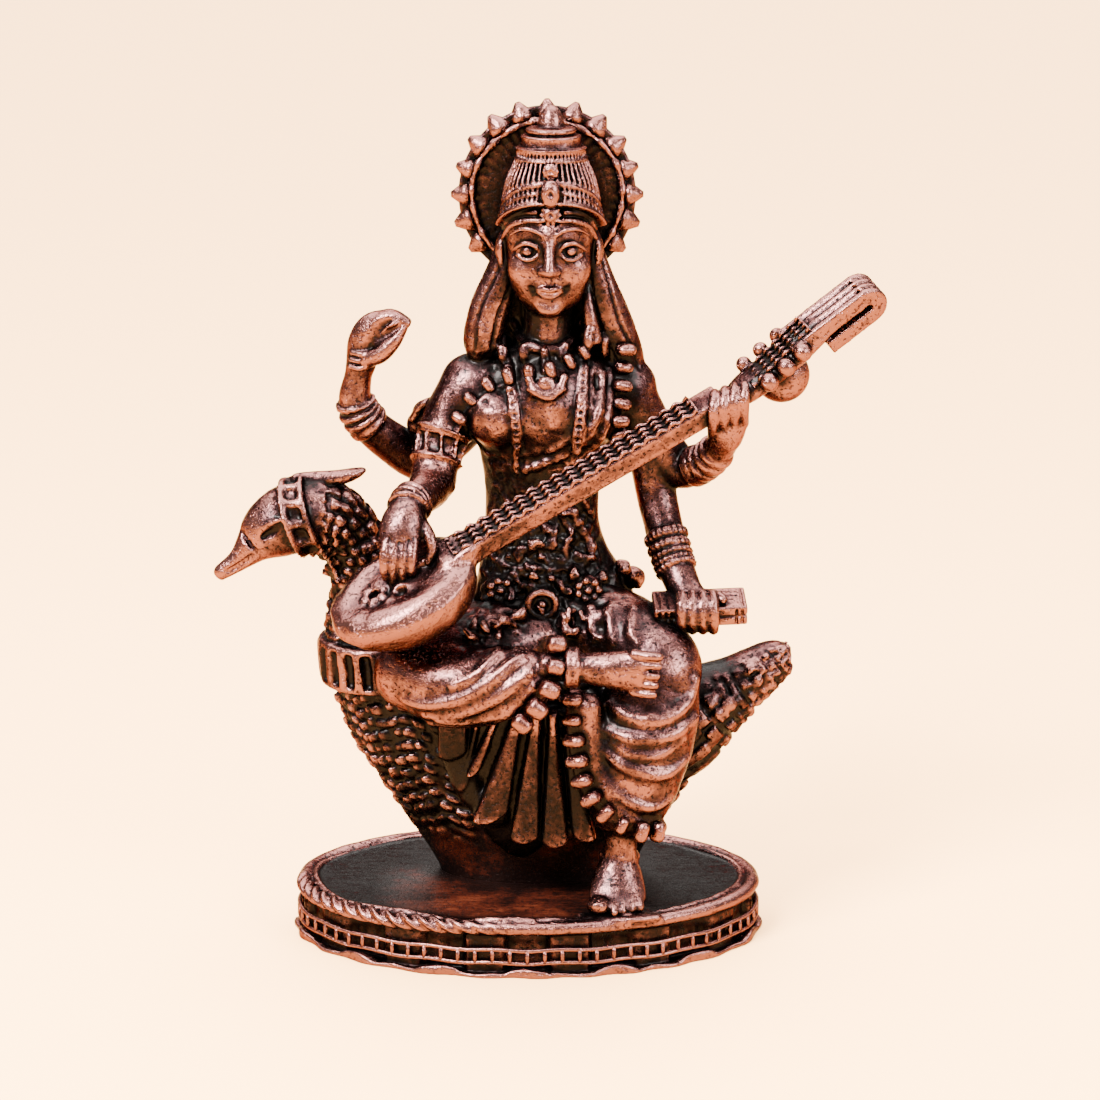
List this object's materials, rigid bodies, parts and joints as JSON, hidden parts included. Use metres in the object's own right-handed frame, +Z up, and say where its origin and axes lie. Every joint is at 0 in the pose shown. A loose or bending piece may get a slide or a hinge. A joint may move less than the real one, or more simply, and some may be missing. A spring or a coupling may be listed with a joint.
{
  "type": "saraswati figure",
  "caption": "Cast metal figure of the many-armed goddess Saraswati seated on a swan and playing a veena, with a pointed halo behind her crown, on an oval plinth with a pierced band.",
  "frame": {"origin": "centre of the plinth's flat underside", "axes": "+Z up, +X to the viewer's right along the plinth's long axis, -Y to the front, where she faces"},
  "size_m": [0.1183, 0.059, 0.151],
  "materials": {
    "antique_copper": "antique copper plating, polished on the heights and black in the hollows"
  },
  "bodies": {
    "root": {"saraswati_figure": "antique_copper"}
  },
  "joints": []
}
